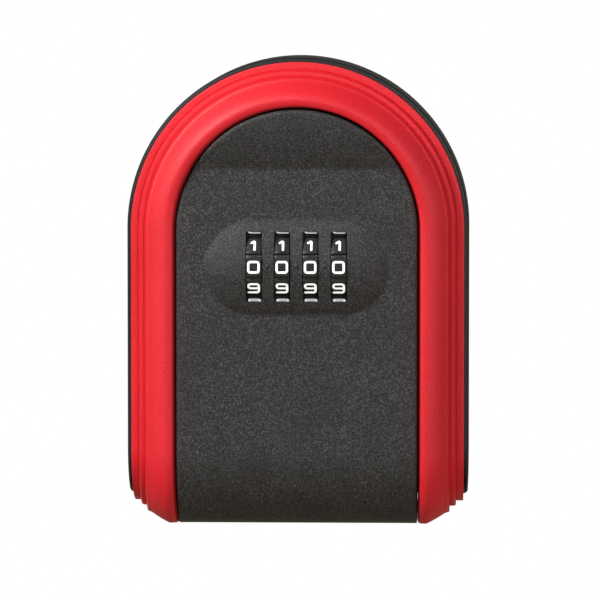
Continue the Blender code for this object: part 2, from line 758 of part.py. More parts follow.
def number_wheel(name, x, mat):
    """A wheel turned about the spindle, with a notch for its sleeve's lug in its right half."""
    half = WHEEL_WIDTH / 2
    profile = [
        (WHEEL_RADIUS, half),
        (WHEEL_RADIUS, -half),
        (WHEEL_RECESS, -half),
        (WHEEL_RECESS, 0.0),
        (WHEEL_BORE, 0.0),
        (WHEEL_BORE, half),
    ]
    wheel = turned(name, profile, mat, 20)
    wheel.rotation_euler.y = math.radians(90)
    wheel.location = at(x, WHEEL_F, WHEEL_Z)
    width = LUG_WIDTH / 2 + LOOSE
    notch = (WHEEL_F - LUG_RADIUS - LOOSE, WHEEL_F - WHEEL_BORE + 1)
    cut(wheel, box(f"{name}_notch", (x - 0.5, x + half + 1), notch, (WHEEL_Z - width, WHEEL_Z + width)))
    return wheel


def code_sleeve(name, x, mat):
    """A sleeve on the spindle: a cam disc with one gate, and a lug that turns it with its wheel."""
    cam_right = SLEEVE_LEFT + CAM_WIDTH
    profile = [
        (SLEEVE_RADIUS, SLEEVE_RIGHT),
        (SLEEVE_RADIUS, cam_right),
        (CAM_RADIUS, cam_right),
        (CAM_RADIUS, SLEEVE_LEFT),
        (SLEEVE_BORE, SLEEVE_LEFT),
        (SLEEVE_BORE, SLEEVE_RIGHT),
    ]
    sleeve = turned(name, profile, mat, 16)
    sleeve.rotation_euler.y = math.radians(90)
    sleeve.location = at(x, WHEEL_F, WHEEL_Z)
    width = LUG_WIDTH / 2
    span = (x + LUG_SPAN[0], x + LUG_SPAN[1])
    lug = (WHEEL_F - LUG_RADIUS, WHEEL_F - SLEEVE_RADIUS + 0.5)
    join(sleeve, box(f"{name}_lug", span, lug, (WHEEL_Z - width, WHEEL_Z + width)))
    gate = (WHEEL_F - GATE_WIDTH / 2, WHEEL_F + GATE_WIDTH / 2)
    top = WHEEL_Z + CAM_RADIUS
    disc = (x + SLEEVE_LEFT - 0.5, x + cam_right + 0.2)
    cut(sleeve, box(f"{name}_gate", disc, gate, (top - GATE_DEPTH, top + 1)))
    return sleeve


def reset_lever(mat):
    """A flat lever on the spindle's end, which comes out through the rear cover."""
    height = (WHEEL_Z - LEVER_HALF_HEIGHT, WHEEL_Z + LEVER_HALF_HEIGHT)
    lever = box("reset_lever", LEVER, (LEVER_BACK, DOOR_INSIDE - GAP), height, mat)
    hole = (LEVER[0] - 1, LEVER[1] + 1)
    cut(lever, rods_along_x("lever_hole", [hole], SPINDLE_RADIUS + LOOSE, WHEEL_F, WHEEL_Z))
    return lever


def spindle_clip(mat):
    inner, half = SPINDLE_RADIUS + LOOSE, CLIP_THICKNESS / 2
    profile = [(CLIP_RADIUS, half), (CLIP_RADIUS, -half), (inner, -half), (inner, half)]
    clip = turned("spindle_clip", profile, mat, 12)
    clip.rotation_euler.y = math.radians(90)
    clip.location = at(CLIP_X, WHEEL_F, WHEEL_Z)
    return clip


def reset_spring(mat):
    """A coil spring on the spindle, between the left ear and the first sleeve."""
    left = EAR_LEFT + 0.7
    right = wheel_places()[0] + SLEEVE_LEFT - 0.7
    curve = bpy.data.curves.new("reset_spring", "CURVE")
    curve.dimensions = "3D"
    curve.bevel_depth = COIL_WIRE * MM
    curve.bevel_resolution = 1
    curve.use_fill_caps = True
    spline = curve.splines.new("POLY")
    steps = COIL_TURNS * COIL_STEPS
    spline.points.add(steps)
    for i in range(steps + 1):
        angle = 2 * math.pi * i / COIL_STEPS
        f = WHEEL_F + COIL_RADIUS * math.cos(angle)
        z = WHEEL_Z + COIL_RADIUS * math.sin(angle)
        spline.points[i].co = (*at(left + (right - left) * i / steps, f, z), 1.0)
    curve.materials.append(mat)
    spring = bpy.data.objects.new("reset_spring", curve)
    PARTS.objects.link(spring)
    return spring


# the bolt


def cam_middle():
    """How far a cam disc's middle is from its wheel's, across the part."""
    return SLEEVE_LEFT + CAM_WIDTH / 2


def fence_span():
    """The left and right ends of the row of fence teeth."""
    places = wheel_places()
    reach = TOOTH_WIDTH / 2 + 0.4
    return places[0] + cam_middle() - reach, places[-1] + cam_middle() + reach


def bolt_bar(mat):
    """A long flat bar with a cross-piece, and a fence tooth over each cam disc."""
    depth = (BOLT_BACK, BOLT_FRONT)
    bar = box("bolt_bar", (-BOLT_HALF_WIDTH, BOLT_HALF_WIDTH), depth, (BOLT_BOTTOM, BOLT_TOP), mat)
    thinner = (BOLT_BACK + 0.1, BOLT_FRONT - 0.1)
    join(bar, box("fence_bar", fence_span(), thinner, (FENCE_BOTTOM, FENCE_TOP)))
    half = TOOTH_WIDTH / 2
    teeth = [
        (
            (x + cam_middle() - half, x + cam_middle() + half),
            (BOLT_BACK + 0.5, FENCE_FRONT),
            (FENCE_BOTTOM + 0.05, FENCE_TOP - 0.05),
        )
        for x in wheel_places()
    ]
    join(bar, boxes("fence_teeth", teeth))
    through = (BOLT_BACK - 1, BOLT_FRONT + 1)
    cut(bar, rods_along_f("bar_holes", both_sides([TAB_RIVET]), RIVET[0] + LOOSE, through))
    return bar


def thumb_tab(mat):
    """A block riveted to the bolt's lower end, with a groove for a fingertip."""
    back = BOLT_FRONT + GAP
    height = (FRONT_BOTTOM + 0.1, FRONT_BOTTOM + TAB_HEIGHT)
    tab = box("thumb_tab", (-TAB_HALF_WIDTH, TAB_HALF_WIDTH), (back, TAB_FRONT), height, mat)
    half, width, depth = TAB_GROOVE
    across = (TAB_FRONT - 2 * width, TAB_FRONT - width)
    cut(tab, box("tab_groove", (-half, half), across, (FRONT_BOTTOM - 1, FRONT_BOTTOM + depth)))
    through = (back - 1, TAB_FRONT + 1)
    cut(tab, rods_along_f("tab_holes", both_sides([TAB_RIVET]), RIVET[0] + LOOSE, through))
    return tab


# assembly


def build_case(black, red, steel):
    rear_shell(black)
    stepped_frame(red)
    keeper(steel)
    key_hook(steel)
    screws("frame_screw", both_sides(FRAME_POSTS), FRAME_SCREW, FRAME_SCREW_HEAD, FRAME_SCREW_TIP, steel)
    height = SMALL_SCREW[2]
    head = KEEPER_BACK + KEEPER_THICKNESS + GAP + height
    screws("keeper_screw", both_sides([KEEPER_SCREW]), SMALL_SCREW, head, KEEPER_SCREW_TIP, steel)
    head = PAD_FRONT + GAP + HOOK_THICKNESS + height + 0.4
    screws("hook_screw", [(0, HOOK_Z)], SMALL_SCREW, head, HOOK_SCREW_TIP, steel)
    reach = DOOR_KNUCKLE[1] - 0.5
    rods_along_x("hinge_pin", [(-reach, reach)], PIN_RADIUS, HINGE_F, HINGE_Z, steel)


def build_door(hinge, panel_black, black, steel, spring_steel, rubber, brass):
    pieces = [
        door_panel(panel_black),
        lock_plate(steel),
        detent_spring(spring_steel),
        lock_cover(black),
        door_seal(rubber),
        reset_spring(spring_steel),
    ]
    for piece in pieces:
        attach(piece, hinge)
    height = SMALL_SCREW[2]
    head = PLATE_BACK - GAP - height
    screws("lock_screw", both_sides(LOCK_POSTS), SMALL_SCREW, head, LOCK_SCREW_TIP, steel, hinge)
    head = COVER_BACK - GAP - height
    screws("cover_screw", both_sides(COVER_POSTS), SMALL_SCREW, head, COVER_SCREW_TIP, steel, hinge)
    head = PLATE_FRONT + 2 * GAP + DETENT_THICKNESS + RIVET[2]
    screws("detent_rivet", both_sides([DETENT_RIVET]), RIVET, head, PLATE_BACK - 0.1, brass, hinge)


def build_lock(hinge, carriage, wheel_black, steel, spring_steel, brass, lever_red):
    attach(rods_along_x("spindle", [SPINDLE], SPINDLE_RADIUS, WHEEL_F, WHEEL_Z, steel), carriage)
    attach(reset_lever(lever_red), carriage)
    attach(spindle_clip(spring_steel), carriage)
    for number, x in enumerate(wheel_places()):
        attach(number_wheel(f"number_wheel_{number + 1}", x, wheel_black), hinge)
        attach(code_sleeve(f"code_sleeve_{number + 1}", x, brass), carriage)


def build_bolt(bolt, steel, black):
    attach(bolt_bar(steel), bolt)
    attach(thumb_tab(black), bolt)
    head = TAB_FRONT + GAP + RIVET[2]
    screws("tab_rivet", both_sides([TAB_RIVET]), RIVET, head, BOLT_BACK + 0.1, steel, bolt)


def build():
    black = material("black_plastic", (0.05, 0.048, 0.047), 0.5)
    panel_black = material("panel_black", (0.053, 0.052, 0.053), 0.48)
    red = material("red_plastic", (0.72, 0.02, 0.03), 0.42)
    wheel_black = material("wheel_black", (0.03, 0.03, 0.03), 0.35)
    rubber = material("seal_rubber", (0.02, 0.02, 0.02), 0.8)
    steel = material("zinc_plated_steel", (0.56, 0.55, 0.52), 0.35, 1.0)
    spring_steel = material("spring_steel", (0.45, 0.45, 0.46), 0.3, 1.0)
    brass = material("brass", (0.72, 0.52, 0.22), 0.35, 1.0)
    lever_red = material("lever_red", (0.6, 0.03, 0.03), 0.5)

    hinge = pivot("door_pivot", at(0, HINGE_F, HINGE_Z))
    carriage = pivot("carriage_pivot", at(0, WHEEL_F, WHEEL_Z), hinge)
    bolt = pivot("bolt_pivot", at(0, BOLT_BACK, WHEEL_Z), hinge)
    build_case(black, red, steel)
    build_door(hinge, panel_black, black, steel, spring_steel, rubber, brass)
    build_lock(hinge, carriage, wheel_black, steel, spring_steel, brass, lever_red)
    build_bolt(bolt, steel, black)


clear_scene()
PARTS = new_collection("key_lock_box")
CUTTERS = new_collection("cutters")
build()
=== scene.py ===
"""Looks of the key lock box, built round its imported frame.

Sizes are in millimetres. A place is given as x to the right, f forward from the wall, and z up from the
centre of the case's arch, and at() turns it into the frame's metres. The case, frame, door, wheels, screws
and reset spring are rebuilt as fine meshes over the plain CAD solids. The other pieces keep their CAD
shapes.
"""

import json
import math

import bmesh
import bpy
from mathutils import Matrix, Vector


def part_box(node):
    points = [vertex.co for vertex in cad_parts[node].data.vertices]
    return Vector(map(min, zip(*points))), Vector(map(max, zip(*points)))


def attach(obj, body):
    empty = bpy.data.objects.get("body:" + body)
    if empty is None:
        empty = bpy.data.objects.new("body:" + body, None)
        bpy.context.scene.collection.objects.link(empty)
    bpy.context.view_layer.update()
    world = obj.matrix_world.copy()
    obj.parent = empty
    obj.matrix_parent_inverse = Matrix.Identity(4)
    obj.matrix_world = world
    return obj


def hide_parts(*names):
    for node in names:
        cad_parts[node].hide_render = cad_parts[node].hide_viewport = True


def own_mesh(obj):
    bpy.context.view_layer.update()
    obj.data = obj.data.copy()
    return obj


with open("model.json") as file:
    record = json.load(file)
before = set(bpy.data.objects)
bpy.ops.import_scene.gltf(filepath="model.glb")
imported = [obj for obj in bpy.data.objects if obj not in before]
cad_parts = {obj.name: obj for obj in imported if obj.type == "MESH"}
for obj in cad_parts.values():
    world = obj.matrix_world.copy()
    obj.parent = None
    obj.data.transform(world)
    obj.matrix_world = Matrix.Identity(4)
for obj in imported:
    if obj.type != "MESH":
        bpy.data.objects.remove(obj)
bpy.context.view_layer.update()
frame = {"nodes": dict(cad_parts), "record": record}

MM = 0.001
SHELL_LOW, SHELL_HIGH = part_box("rear_shell")
FRAME_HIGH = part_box("red_frame")[1]
DOOR_LOW, DOOR_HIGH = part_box("door_panel")

# rear shell
SHELL_HALF_WIDTH = SHELL_HIGH[0] / MM
ARCH_HEIGHT = SHELL_HIGH[2] / MM - SHELL_HALF_WIDTH
SHELL_DEPTH = -SHELL_LOW[1] / MM
SHELL_BOTTOM = -67.35
SHELL_WALL = 2.2
SHELL_BACK = 2.5
SHELL_CORNER = 1.6
LIP_FRONT = 11.2

POST_START = 1.0  # how far forward of the wall a post starts, inside the shell's back
FRAME_PAD = (4.4, 3.5)  # radius and length
KEEPER_POST = (2.6, 7.7)
HOOK_PAD = (3.5, 3.5)
SEAT_RADIUS = 3.1  # for the frame screws' heads
SEAT_DEPTH = 2.2
SEAT_HOLE = 1.55
WALL_HOLE = 2.5  # a wall screw's hole, and the seat and depth of its countersink
WALL_SEAT = 3.4
WALL_SEAT_DEPTH = 1.6
WALL_HOLES_X = 20.0
WALL_HOLES_Z = 27.0

# the sweep back at the foot of the front layers
FOOT_START = -55.0
FOOT_DEPTH = 12.0
FOOT_TUCK = 0.3  # how much narrower a layer gets there

# red frame
FRAME_BACK = SHELL_DEPTH + 0.35
REAR_FACE = FRAME_BACK - 0.02
FRAME_HALF_WIDTH = FRAME_HIGH[0] / MM
STEP_BOTTOMS = (-68.5, -69.9, -71.4)
LEG_ROWS = (-40, -20)
CREST_STEPS = 10
STEP_EDGES = (FRAME_HALF_WIDTH, 39.15, 37.4)  # half-widths at the front edge of each step
STEP_FEET = (39.6, 38.0)  # half-widths where the second and third steps rise
TREADS = (26.5, 28.5, 30.5)  # how far forward each step comes
STEP_ROUND = 0.16
STEP_GROOVE = 0.14
CREST_HALF_WIDTH = 32.4
CREST_FRONT = 33.5
CREST_RISE = 2.0
CREST_ROUND = 0.8
CREST_PULL = (35.0, 33.0)  # what the curve from the last step to the crest is drawn towards
OPENING_HALF_WIDTH = 30.2
OPENING_TAPER = 0.2
FRAME_HEEL = STEP_BOTTOMS[0] - 0.5
FRAME_POST = (3.2, 22.0)  # radius and length
FRAME_POST_START = 4.8
LEDGE_WIDTH = 0.35  # between the crest's inner wall and the opening, in the crest's shadow
LEDGE_DEPTH = 2.6

# door panel, with its brow and bump
DOOR_HALF_WIDTH = DOOR_HIGH[0] / MM
FRONT_BOTTOM = DOOR_LOW[2] / MM - ARCH_HEIGHT
DOOR_FRONT = 32.8
DOOR_WALL = 2.0
DOOR_INSIDE = 30.3
DOOR_BACK = 23.0
CLEAR_FRONT = 40.0  # well in front of the door
BROW = 2.7
BROW_START = 15.2
BUMP_HALF_LENGTH = 23.2
BUMP_HALF_HEIGHT = 12.0
BUMP_RAISE = 2.8
BUMP_SHAPE = 1.7  # 2 is a round dome, 1 a cone
DOOR_COLUMNS = 110
BUMP_Z = -9.3

# number wheels, their digits and windows
WHEELS = [f"number_wheel_{i}" for i in (1, 2, 3, 4)]
WHEEL_RADIUS = 9.3
WHEEL_FLAT = 9.02  # from the axis to the middle of a flat
WHEEL_GROOVE = 8.62
GROOVE_START = 13.5  # degrees from the middle of a flat
GROOVE_SLOPE = 3.0
WHEEL_HALF_WIDTH = 1.8
WHEEL_EDGE = 0.16
WHEEL_BORE = 4.3
WHEEL_SEGMENTS = 180
DIGITS = 10
SECTOR = math.radians(360 / DIGITS)

DIGIT_WIDTH = 2.55
DIGIT_HEIGHT = 2.6
DIGIT_CORNER = 0.62
STROKE = 0.56
STROKE_HEIGHT = 0.09

WINDOW_WIDTH = 4.0
WINDOW_HEIGHT = 17.3

# openings and posts inside the door
POCKET_X = (-15.9, 14.0)  # the wheels' room behind the windows
POCKET_FRONT = 32.9
POCKET_MARGIN = 0.8
TAB_OPENING = (8.6, 12.8, 19.2)  # half-width, and its two depths at the foot
TAB_OPENING_HEIGHT = 4.0
DOOR_EDGE = 0.9
DOOR_INNER_EDGE = 0.6
SCREW_POST_RADIUS = 2.0
SCREW_POST_END = 31.3
LOCK_POST_START = 16.7
COVER_POST_START = 13.2
PIP_RADIUS = 0.62  # the marks between the wheels
PIP_RAISE = 0.2

# door hinge
HINGE_F = 8.5
HINGE_Z = -70.6
KNUCKLE_RADIUS = 2.5
PIN_HOLE = 1.5
PIN_REACH = 40.0
KNUCKLE_EDGE = 0.2
WEB_INSET = 0.3
HINGE_WEB = 2.0
CASE_KNUCKLE = (12.0, 20.0)
DOOR_KNUCKLE = (20.3, 27.0)
ARM_FRONT = 17.0

# name, body, height of the head, and how many
SCREWS = (
    ("frame_screw", "case", 1.6, 4),
    ("keeper_screw", "case", 1.0, 2),
    ("hook_screw", "case", 1.0, 1),
    ("lock_screw", "door", 1.0, 4),
    ("cover_screw", "door", 1.0, 4),
)
SCREW_SHANK = 0.45  # as a share of the head's radius, like the recess's half-length and half-width
RECESS_LENGTH = 0.55
RECESS_WIDTH = 0.13
RECESS_DEPTH = 0.5  # as a share of the head's height
SOFTENED = ("lock_cover", "thumb_tab", "reset_lever", "lock_plate", "keeper_plate", "key_hook", "bolt_bar")
SOFT_EDGE = 0.15
COIL_WIRE = 0.25
COIL_TURNS = 4
COIL_STEPS = 24

FORWARD = Vector((0, -1, 0))
RIGHTWARD = Vector((1, 0, 0))
BEHIND = 1.0  # how far behind the wall a hole's cutter starts

ARCH_SEGMENTS = 121
FOOT_STEPS = 14
CORNER_STEPS = 6


def at(x, f, z):
    """A place in the frame's metres."""
    return Vector((x * MM, -f * MM, (z + ARCH_HEIGHT) * MM))


def centre_of(node):
    """The middle of a CAD node's box, as (x, f, z)."""
    low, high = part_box(node)
    middle = (Vector(low) + Vector(high)) / 2 / MM
    return middle.x, -middle.y, middle.z - ARCH_HEIGHT


WHEEL_F, WHEEL_Z = centre_of(WHEELS[0])[1:]
WHEEL_PLACES = [centre_of(node)[0] for node in WHEELS]


def ease(t):
    """0 to 1 as t goes from 0 to 1, level at both ends."""
    t = min(max(t, 0.0), 1.0)
    return t * t * (3 - 2 * t)


def mix(a, b, t):
    return a + (b - a) * t


# materials


class Shader:
    """A material's node tree, with short calls to add and link nodes."""

    def __init__(self, name, colour, roughness, metallic=0.0):
        self.material = bpy.data.materials.new(name)
        self.material.use_nodes = True
        self.nodes = self.material.node_tree.nodes
        self.links = self.material.node_tree.links
        self.shader = self.nodes["Principled BSDF"]
        self.set("Base Color", (*colour, 1.0))
        self.set("Roughness", roughness)
        self.set("Metallic", metallic)
        self.place = self.nodes.new("ShaderNodeTexCoord").outputs["Object"]

    def set(self, socket, value):
        self.shader.inputs[socket].default_value = value

    def add(self, kind, values=(), **settings):
        node = self.nodes.new(kind)
        for key, value in settings.items():
            setattr(node, key, value)
        for socket, value in dict(values).items():
            if isinstance(value, bpy.types.NodeSocket):
                self.links.new(value, node.inputs[socket])
            else:
                node.inputs[socket].default_value = value
        return node

    def noise(self, size, detail=2.0, stretch=(1, 1, 1), roughness=0.5):
        """Noise whose cells are about size millimetres, or longer along an axis by stretch."""
        scale = tuple(1 / s for s in stretch)
        spread = self.add("ShaderNodeMapping", {"Vector": self.place, "Scale": scale})
        values = {"Vector": spread.outputs[0], "Scale": 1 / (size * MM), "Detail": detail}
        return self.add("ShaderNodeTexNoise", {**values, "Roughness": roughness}).outputs["Fac"]

    def ramp(self, factor, low, high, start=0.3, end=0.7):
        """Maps factor from start..end to low..high."""
        values = {"Value": factor, "From Min": start, "From Max": end}
        return self.add("ShaderNodeMapRange", {**values, "To Min": low, "To Max": high}).outputs["Result"]

    def shade(self, factor, dark, light, start=0.3, end=0.7):
        """A colour that goes from dark to light with factor."""
        share = self.ramp(factor, 0.0, 1.0, start, end)
        node = self.add("ShaderNodeMix", {"Factor": share}, data_type="RGBA")
        node.inputs["A"].default_value = (*dark, 1.0)
        node.inputs["B"].default_value = (*light, 1.0)
        return node.outputs["Result"]

    def link(self, output, socket):
        self.links.new(output, self.shader.inputs[socket])

    def bump(self, height, depth, under=None):
        """Bump of that many millimetres, over another bump's normal."""
        values = {"Height": height, "Distance": depth * MM, "Strength": 1.0}
        if under is not None:
            values["Normal"] = under
        normal = self.add("ShaderNodeBump", values).outputs["Normal"]
        self.link(normal, "Normal")
        return normal


def red_plastic():
    """The frame's satin plastic, with a grain fine enough to sparkle."""
    s = Shader("red_plastic", (0.7, 0.02, 0.03), 0.42)
    s.set("Specular IOR Level", 0.5)
    drift = s.noise(14.0, 3.0)
    s.link(s.shade(drift, (0.74, 0.009, 0.021), (0.8, 0.012, 0.025)), "Base Color")
    grain = s.noise(0.34, 3.0)
    s.link(s.ramp(grain, 0.56, 0.42), "Roughness")
    under = s.bump(s.noise(2.5, 2.0), 0.006)
    s.bump(grain, 0.13, under)
    return s.material


def grained_black(name, dark, light, rough, grain_size, depth):
    """Black moulded plastic with a fine grain, whose tops get painted glints: a lighter base colour
    standing in for the light that sparkles on them.
    """
    s = Shader(name, light, sum(rough) / 2)
    s.set("Specular IOR Level", 0.5)
    grain = s.noise(grain_size, 2.0, roughness=0.6)
    patch = s.noise(9.0, 3.0)
    # painted highlight: the grain's tops, stronger in some patches, are given a lighter colour as glints
    tops, strength = s.ramp(grain, 0.0, 1.0, 0.47, 0.68), s.ramp(patch, 0.6, 1.0)
    painted_glints = s.add("ShaderNodeMath", {0: tops, 1: strength}, operation="MULTIPLY")
    s.link(s.shade(painted_glints.outputs[0], dark, light, 0.0, 1.0), "Base Color")
    s.link(s.ramp(grain, rough[1], rough[0]), "Roughness")
    s.bump(grain, depth)
    return s.material


def wheel_plastic():
    """The wheels' smooth black plastic."""
    s = Shader("wheel_plastic", (0.022, 0.021, 0.021), 0.3)
    wear = s.noise(0.6, 3.0)
    s.link(s.shade(wear, (0.016, 0.015, 0.015), (0.04, 0.039, 0.04)), "Base Color")
    s.link(s.ramp(wear, 0.25, 0.42), "Roughness")
    s.bump(s.noise(0.25, 2.0), 0.005)
    return s.material


def glowing_white_paint():
    """The digits' white paint, with a painted glow (emission) that keeps them bright in the windows'
    shade.
    """
    s = Shader("digit_paint_glowing", (0.9, 0.9, 0.88), 0.4)
    s.link(s.shade(s.noise(0.5, 3.0), (0.84, 0.84, 0.82), (0.93, 0.93, 0.92)), "Base Color")
    s.link(s.ramp(s.noise(0.3, 2.0), 0.34, 0.5), "Roughness")
    # painted light: an emission that makes the digits glow, though they are no lamp
    s.set("Emission Color", (1.0, 1.0, 1.0, 1.0))
    s.set("Emission Strength", 0.6)
    return s.material


def rubber():
    """The door seal's matt rubber."""
    s = Shader("seal_rubber", (0.02, 0.02, 0.02), 0.8)
    s.link(s.shade(s.noise(0.8, 3.0), (0.014, 0.014, 0.014), (0.03, 0.03, 0.03)), "Base Color")
    s.bump(s.noise(0.3, 3.0), 0.02)
    return s.material


def metal(name, dark, light, rough, stretch=(1, 1, 1)):
    """Bare or plated metal, brushed along the axis that stretch lengthens."""
    s = Shader(name, light, sum(rough) / 2, 1.0)
    streak = s.noise(0.35, 4.0, stretch)
    s.link(s.shade(s.noise(4.0, 3.0), dark, light), "Base Color")
    s.link(s.ramp(streak, *rough), "Roughness")
    s.bump(streak, 0.004)
    return s.material


def lever_plastic():
    """The reset lever's red plastic."""
    s = Shader("lever_plastic", (0.6, 0.03, 0.03), 0.45)
    grain = s.noise(0.4, 3.0)
    s.link(s.shade(grain, (0.5, 0.02, 0.02), (0.66, 0.035, 0.035)), "Base Color")
    s.link(s.ramp(grain, 0.4, 0.55), "Roughness")
    s.bump(grain, 0.01)
    return s.material


RED = red_plastic()
# light is the colour of the painted glints on the grain's tops, dark the plastic's own colour
PANEL_BLACK = grained_black(
    "panel_black", dark=(0.011, 0.0105, 0.0105), light=(0.1, 0.098, 0.103),
    rough=(0.42, 0.6), grain_size=0.34, depth=0.2,
)
CASE_BLACK = grained_black(
    "case_black", dark=(0.010, 0.0095, 0.0095), light=(0.02, 0.019, 0.0185),
    rough=(0.34, 0.5), grain_size=0.3, depth=0.04,
)
WHEEL_BLACK = wheel_plastic()
# the digits' white paint, with a painted glow
DIGIT_WHITE_GLOWING = glowing_white_paint()
RUBBER = rubber()
STEEL = metal("zinc_plate", (0.48, 0.47, 0.43), (0.64, 0.63, 0.6), (0.26, 0.42), (1, 1, 12))
SPRING_STEEL = metal("spring_steel", (0.4, 0.4, 0.41), (0.52, 0.52, 0.54), (0.2, 0.34), (10, 1, 1))
BRASS = metal("turned_brass", (0.62, 0.43, 0.17), (0.78, 0.58, 0.27), (0.24, 0.4), (1, 10, 10))
LEVER = lever_plastic()
MATERIALS = {
    "black_plastic": CASE_BLACK,
    "panel_black": PANEL_BLACK,
    "red_plastic": RED,
    "wheel_black": WHEEL_BLACK,
    "seal_rubber": RUBBER,
    "zinc_plated_steel": STEEL,
    "spring_steel": SPRING_STEEL,
    "brass": BRASS,
    "lever_red": LEVER,
}


# mesh building


def piece(name, bm, material, sharp=32):
    """A smooth-shaded object from a bmesh."""
    bmesh.ops.recalc_face_normals(bm, faces=bm.faces)
    mesh = bpy.data.meshes.new(name)
    bm.to_mesh(mesh)
    bm.free()
    obj = bpy.data.objects.new(name, mesh)
    bpy.context.scene.collection.objects.link(obj)
    mesh.materials.append(material)
    mesh.shade_smooth()
    mesh.set_sharp_from_angle(angle=math.radians(sharp))
    return obj


def carve(obj, tools, operation="DIFFERENCE", sharp=32):
    """Cuts or joins a bmesh of tools with obj, and keeps the result as obj's mesh."""
    tool = piece("tool", tools, obj.data.materials[0])
    modifier = obj.modifiers.new("carve", "BOOLEAN")
    modifier.object = tool
    modifier.operation = operation
    graph = bpy.context.evaluated_depsgraph_get()
    graph.update()
    result = bpy.data.meshes.new_from_object(obj.evaluated_get(graph))
    obj.modifiers.clear()
    obj.data = result
    bpy.data.objects.remove(tool)
    result.shade_smooth()
    result.set_sharp_from_angle(angle=math.radians(sharp))


def add_box(bm, xs, fs, zs):
    low, high = at(xs[0], fs[1], zs[0]), at(xs[1], fs[0], zs[1])
    matrix = Matrix.Translation((low + high) / 2) @ Matrix.Diagonal((*(high - low), 1.0))
    bmesh.ops.create_cube(bm, size=1.0, matrix=matrix)


def boxes(blocks):
    bm = bmesh.new()
    for xs, fs, zs in blocks:
        add_box(bm, xs, fs, zs)
    return bm


def add_turned(bm, start, axis, profile, segments=40):
    """A solid of revolution. Its profile is (radius, distance along axis) points from end to end."""
    axis = axis.normalized()
    side = axis.orthogonal().normalized()
    other = axis.cross(side)
    rings = []
    for radius, along in profile:
        ring = []
        for i in range(segments):
            angle = 2 * math.pi * i / segments
            out = side * math.cos(angle) + other * math.sin(angle)
            ring.append(bm.verts.new(start + axis * along * MM + out * radius * MM))
        rings.append(ring)
    loft(bm, rings)
    bm.faces.new(rings[0])
    bm.faces.new(rings[-1])


def rounded_rod(radius, length, edge=0.25):
    """The profile of a rod with rounded ends."""
    return [(radius - edge, 0), (radius - edge * 0.3, edge * 0.3), (radius, edge), (radius, length - edge),
            (radius - edge * 0.3, length - edge * 0.3), (radius - edge, length)]


def loft(bm, rings, closed=True):
    """Quads between rings of the same number of vertices."""
    count = len(rings[0])
    for low, high in zip(rings, rings[1:]):
        for i in range(count if closed else count - 1):
            j = (i + 1) % count
            bm.faces.new((low[i], low[j], high[j], high[i]))


def drop(z, bottom):
    """How far the foot of a layer has swept back at height z."""
    t = min(max((FOOT_START - z) / (FOOT_START - bottom), 0.0), 1.0)
    return FOOT_DEPTH * (1 - math.sqrt(1 - t * t))


def half_outline(half_width, bottom, corner=0.0, leg_rows=()):
    """The right half of an arch from foot to crown, as (x, z) points. Its bottom corner may be rounded."""
    points = []
    if corner:
        for i in range(CORNER_STEPS):
            angle = math.radians(90 * i / CORNER_STEPS)
            x = half_width - corner * (1 - math.sin(angle))
            points.append((x, bottom + corner * (1 - math.cos(angle))))
    height = FOOT_START - bottom
    lowest = math.asin((height - corner) / height)
    for i in range(FOOT_STEPS + 1):
        points.append((half_width, FOOT_START - height * math.sin(lowest * (1 - i / FOOT_STEPS))))
    points += [(half_width, z) for z in leg_rows]
    for i in range((ARCH_SEGMENTS + 1) // 2):
        angle = math.pi * i / ARCH_SEGMENTS
        points.append((half_width * math.cos(angle), half_width * math.sin(angle)))
    return [(x - FOOT_TUCK * drop(z, bottom) / FOOT_DEPTH, z) for x, z in points]


def both_halves(half):
    """(side, station) round a whole outline, foot to foot."""
    return [(1, p) for p in half] + [(-1, p) for p in reversed(half)]


def outline_ring(bm, half, depth):
    """A ring of vertices round an outline. depth gives f at (x, z)."""
    return [bm.verts.new(at(side * x, depth(x, z), z)) for side, (x, z) in both_halves(half)]


def ladder(bm, ring, depth=None, columns=1):
    """Closes a ring with rows across it. Between the sides, depth gives f at (x, z)."""
    count = len(ring) // 2
    rows = []
    for i in range(count):
        right, left = ring[i], ring[-1 - i]
        row = [right]
        for k in range(1, columns):
            x = mix(right.co.x, left.co.x, k / columns) / MM
            z = right.co.z / MM - ARCH_HEIGHT
            row.append(bm.verts.new(at(x, depth(x, z), z)))
        rows.append([*row, left])
    loft(bm, rows, closed=False)


# the case


